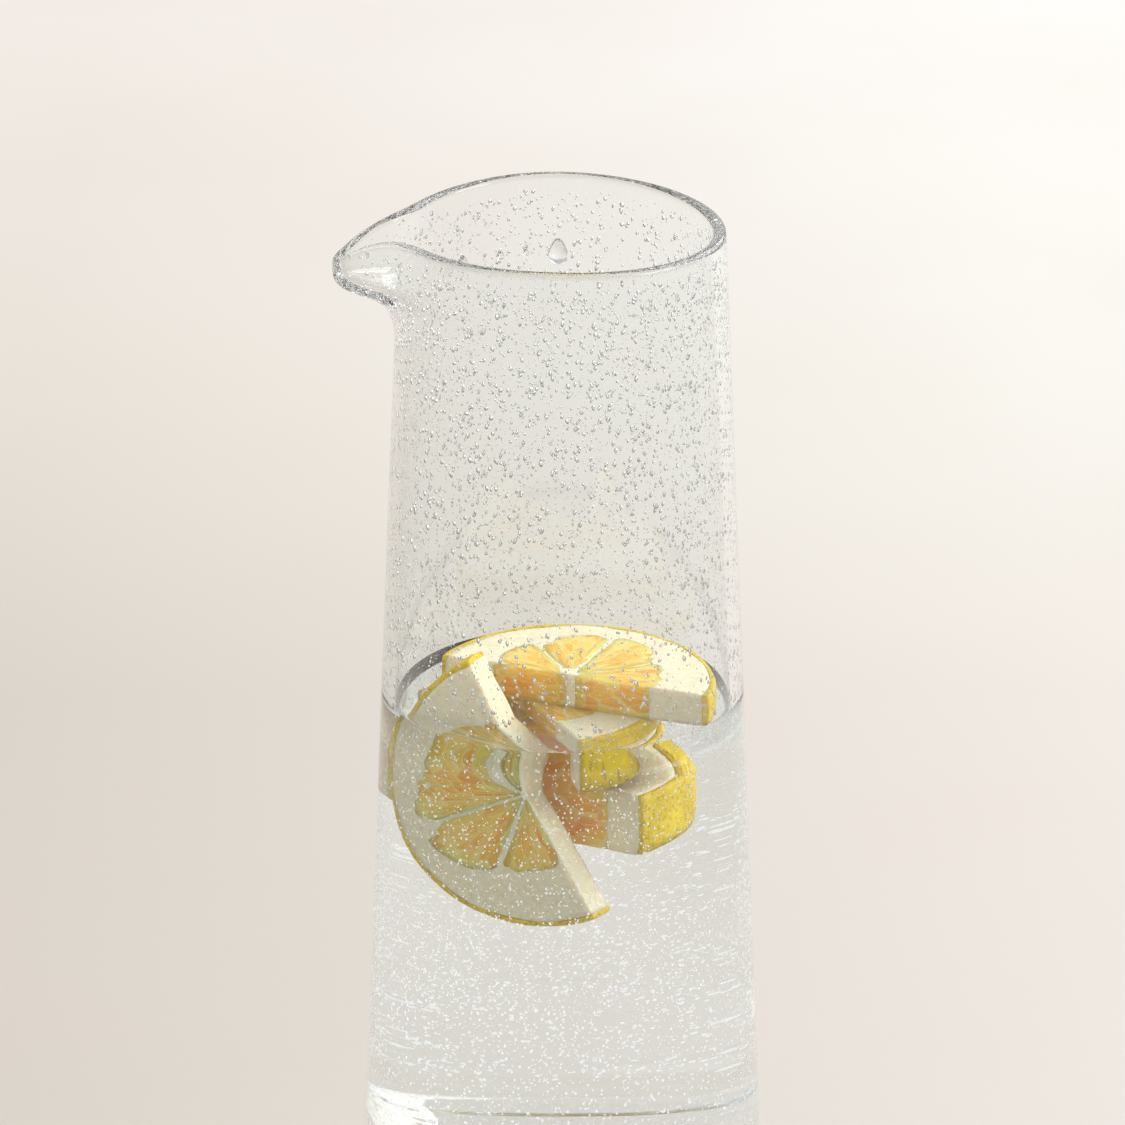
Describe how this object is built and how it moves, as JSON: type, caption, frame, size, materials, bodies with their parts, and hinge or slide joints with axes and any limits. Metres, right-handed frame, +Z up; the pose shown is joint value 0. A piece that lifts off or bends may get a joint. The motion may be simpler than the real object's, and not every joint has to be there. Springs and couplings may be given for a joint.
{
  "type": "glass carafe",
  "caption": "Tapered hand-blown seeded glass carafe with a pulled pouring lip and a heavy flat foot, half full of water with half slices of lemon.",
  "frame": {"origin": "centre of the flat foot, on the surface that the carafe stands on", "axes": "+Z up along the carafe's axis, -X towards the pouring lip, +Y to the back as it is pictured"},
  "size_m": [0.1014, 0.0958, 0.2416],
  "materials": {
    "clear_glass": "clear hand-blown soda-lime glass with seeds, fire-polished",
    "still_water": "clear still water",
    "lemon_peel": "waxy dimpled lemon zest",
    "lemon_pith": "soft white pith and membranes",
    "lemon_pulp": "wet translucent juice cells"
  },
  "bodies": {
    "root": {"carafe_body": "clear_glass", "water": "still_water", "water_drops": "still_water", "front_slice_peel": "lemon_peel", "front_slice_pith": "lemon_pith", "front_slice_pulp": "lemon_pulp", "back_slice_peel": "lemon_peel", "back_slice_pith": "lemon_pith", "back_slice_pulp": "lemon_pulp", "upper_slice_peel": "lemon_peel", "upper_slice_pith": "lemon_pith", "upper_slice_pulp": "lemon_pulp", "lower_slice_peel": "lemon_peel", "lower_slice_pith": "lemon_pith", "lower_slice_pulp": "lemon_pulp"}
  },
  "joints": []
}
